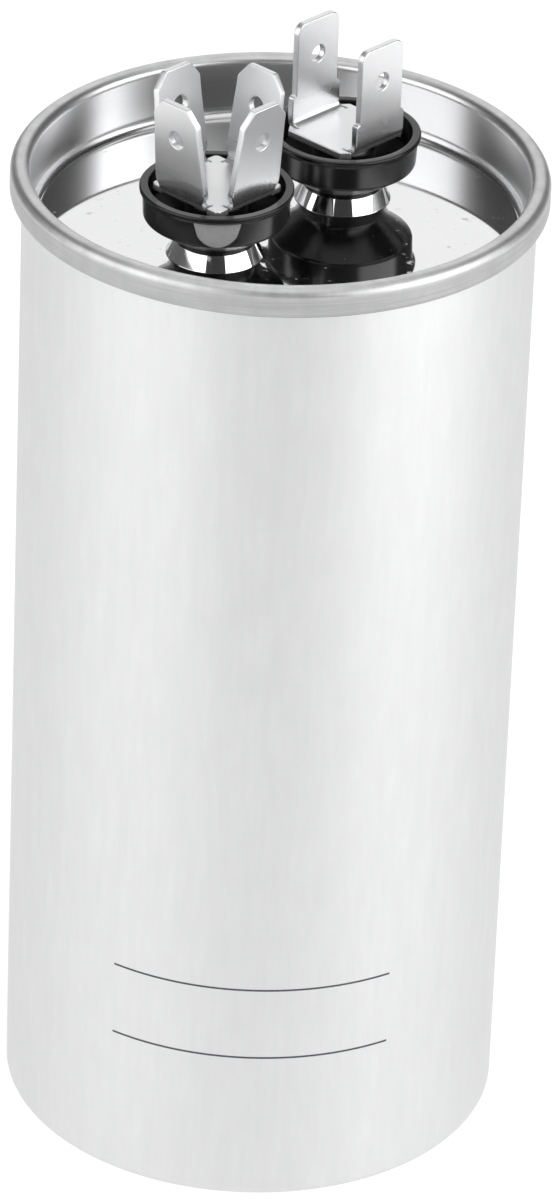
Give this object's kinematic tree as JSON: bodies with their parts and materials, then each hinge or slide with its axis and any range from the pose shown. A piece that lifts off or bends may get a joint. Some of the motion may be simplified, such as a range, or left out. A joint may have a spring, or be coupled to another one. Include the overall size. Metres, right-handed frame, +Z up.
{
  "type": "motor run capacitor",
  "caption": "Upright round metal can with a rolled seam, sunk lid and insulated push-on blade terminals; stores charge to run a motor.",
  "frame": {"origin": "middle of the base", "axes": "+Z up along the can, +X from the four-blade terminal to the two-blade terminal"},
  "size_m": [0.0576, 0.0576, 0.1263],
  "materials": {
    "can_metal": "satin drawn",
    "lid_metal": "bright tinplate",
    "cup_plastic": "semi-gloss black",
    "rivet_metal": "plated",
    "blade_metal": "satin tinned",
    "washer_plastic": "moulded",
    "contact_metal": "plain",
    "moulded_plastic": "moulded",
    "spray_metal": "sprayed, grainy",
    "film": "wound film",
    "wrap_tape": "clear tape",
    "lead_metal": "tinned wire"
  },
  "bodies": {
    "root": {"can": "can_metal", "lid": "lid_metal", "four_tab_cup": "cup_plastic", "two_tab_cup": "cup_plastic", "four_tab_rivet": "rivet_metal", "two_tab_rivet": "rivet_metal", "four_tab_terminal": "blade_metal", "two_tab_terminal": "blade_metal", "four_tab_washer": "washer_plastic", "two_tab_washer": "washer_plastic", "four_tab_contact": "contact_metal", "two_tab_contact": "contact_metal", "base_tray": "moulded_plastic", "bottom_spray": "spray_metal", "winding": "film", "core_tube": "moulded_plastic", "winding_wrap": "wrap_tape", "top_spray": "spray_metal", "winding_cover": "moulded_plastic", "short_lead": "lead_metal", "long_lead": "lead_metal"}
  },
  "joints": []
}
